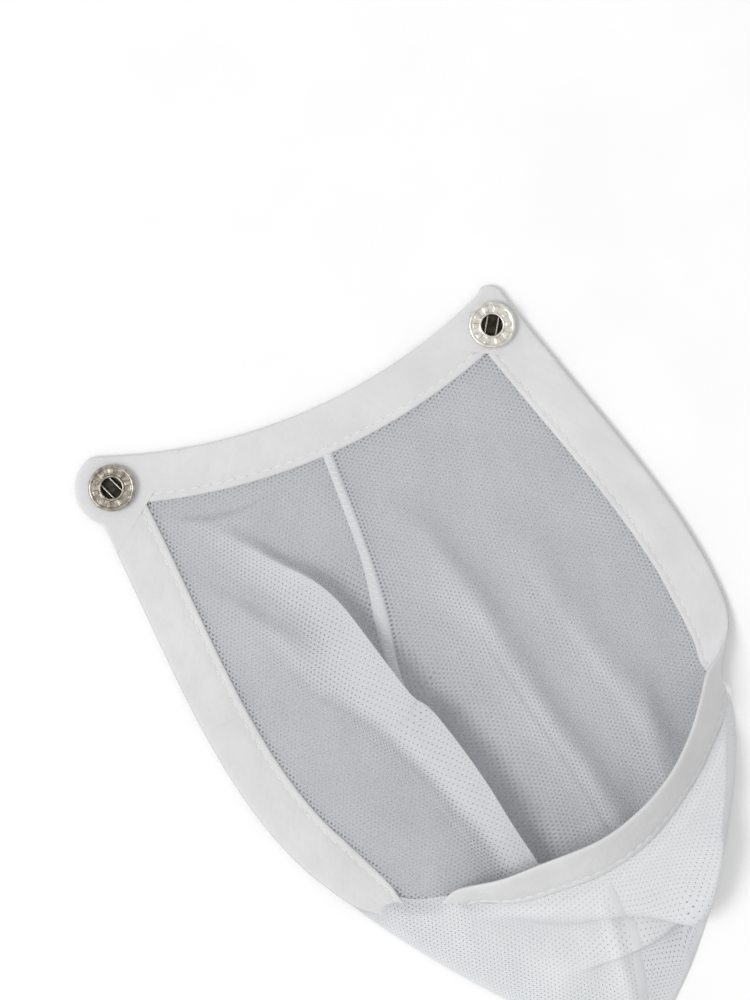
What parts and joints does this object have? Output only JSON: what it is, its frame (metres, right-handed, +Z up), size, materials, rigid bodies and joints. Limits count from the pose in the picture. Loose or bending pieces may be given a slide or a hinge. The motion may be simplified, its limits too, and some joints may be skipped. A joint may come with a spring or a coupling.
{
  "type": "press-stud mesh pouch",
  "caption": "Open pouch of white knitted mesh with a tape-bound mouth, a raised lip and a press-stud socket in each top corner, lying on its back.",
  "frame": {"origin": "on the surface that the pouch lies on, under the middle of its outline", "axes": "+X from the left socket to the right one, +Y from the toe to the top edge, +Z up from the surface"},
  "size_m": [0.1484, 0.2015, 0.0243],
  "materials": {
    "mesh": "white warp-knitted polyester mesh with small staggered holes",
    "seam": "overlocked seam allowance of the same mesh",
    "tape": "white folded twill binding tape",
    "thread": "white polyester sewing thread",
    "nickel": "nickel-plated pressed brass",
    "spring_steel": "bright drawn spring wire"
  },
  "bodies": {
    "pouch": {"back_panel_left": "mesh", "back_panel_right": "mesh", "back_seam": "seam", "front_panel_left": "mesh", "front_panel_right": "mesh", "front_seam": "seam", "top_tape": "tape", "left_side_tape": "tape", "right_side_tape": "tape", "top_stitching": "thread", "left_side_stitching": "thread", "right_side_stitching": "thread", "back_seam_stitching": "thread"},
    "lip": {"lip_tape": "tape", "lip_stitching": "thread"},
    "left_tab": {"left_corner_tab": "tape", "left_socket": "nickel", "left_prong_ring": "nickel"},
    "right_tab": {"right_corner_tab": "tape", "right_socket": "nickel", "right_prong_ring": "nickel"},
    "left_wire_1": {"left_spring_wire_1": "spring_steel"},
    "left_wire_2": {"left_spring_wire_2": "spring_steel"},
    "right_wire_1": {"right_spring_wire_1": "spring_steel"},
    "right_wire_2": {"right_spring_wire_2": "spring_steel"}
  },
  "joints": [
    {"name": "lip_lift", "type": "hinge", "parent": "pouch", "child": "lip", "pos_m": [0.00778, -0.02975, 0.0029], "axis": [-0.9947, -0.1029, 0], "range_deg": [0, 30]},
    {"name": "left_tab_fold", "type": "hinge", "parent": "pouch", "child": "left_tab", "pos_m": [-0.05702, 0.08301, 0.0021], "axis": [0.809, 0.5878, 0], "range_deg": [0, 75]},
    {"name": "right_tab_fold", "type": "hinge", "parent": "pouch", "child": "right_tab", "pos_m": [0.04148, 0.08395, 0.0021], "axis": [0.8746, -0.4848, 0], "range_deg": [0, 75]},
    {"name": "left_wire_1_spread", "type": "slide", "parent": "left_tab", "child": "left_wire_1", "axis": [-0.9272, -0.3746, 0], "range_m": [0, 0.0008], "stiffness_N_per_m": 20},
    {"name": "left_wire_2_spread", "type": "slide", "parent": "left_tab", "child": "left_wire_2", "axis": [0.9272, 0.3746, 0], "range_m": [0, 0.0008], "stiffness_N_per_m": 20},
    {"name": "right_wire_1_spread", "type": "slide", "parent": "right_tab", "child": "right_wire_1", "axis": [-0.8387, 0.5446, 0], "range_m": [0, 0.0008], "stiffness_N_per_m": 20},
    {"name": "right_wire_2_spread", "type": "slide", "parent": "right_tab", "child": "right_wire_2", "axis": [0.8387, -0.5446, 0], "range_m": [0, 0.0008], "stiffness_N_per_m": 20}
  ],
  "couplings": [
    {"joint": "left_wire_2_spread", "follows": "left_wire_1_spread", "ratio": 1},
    {"joint": "right_wire_2_spread", "follows": "right_wire_1_spread", "ratio": 1}
  ]
}
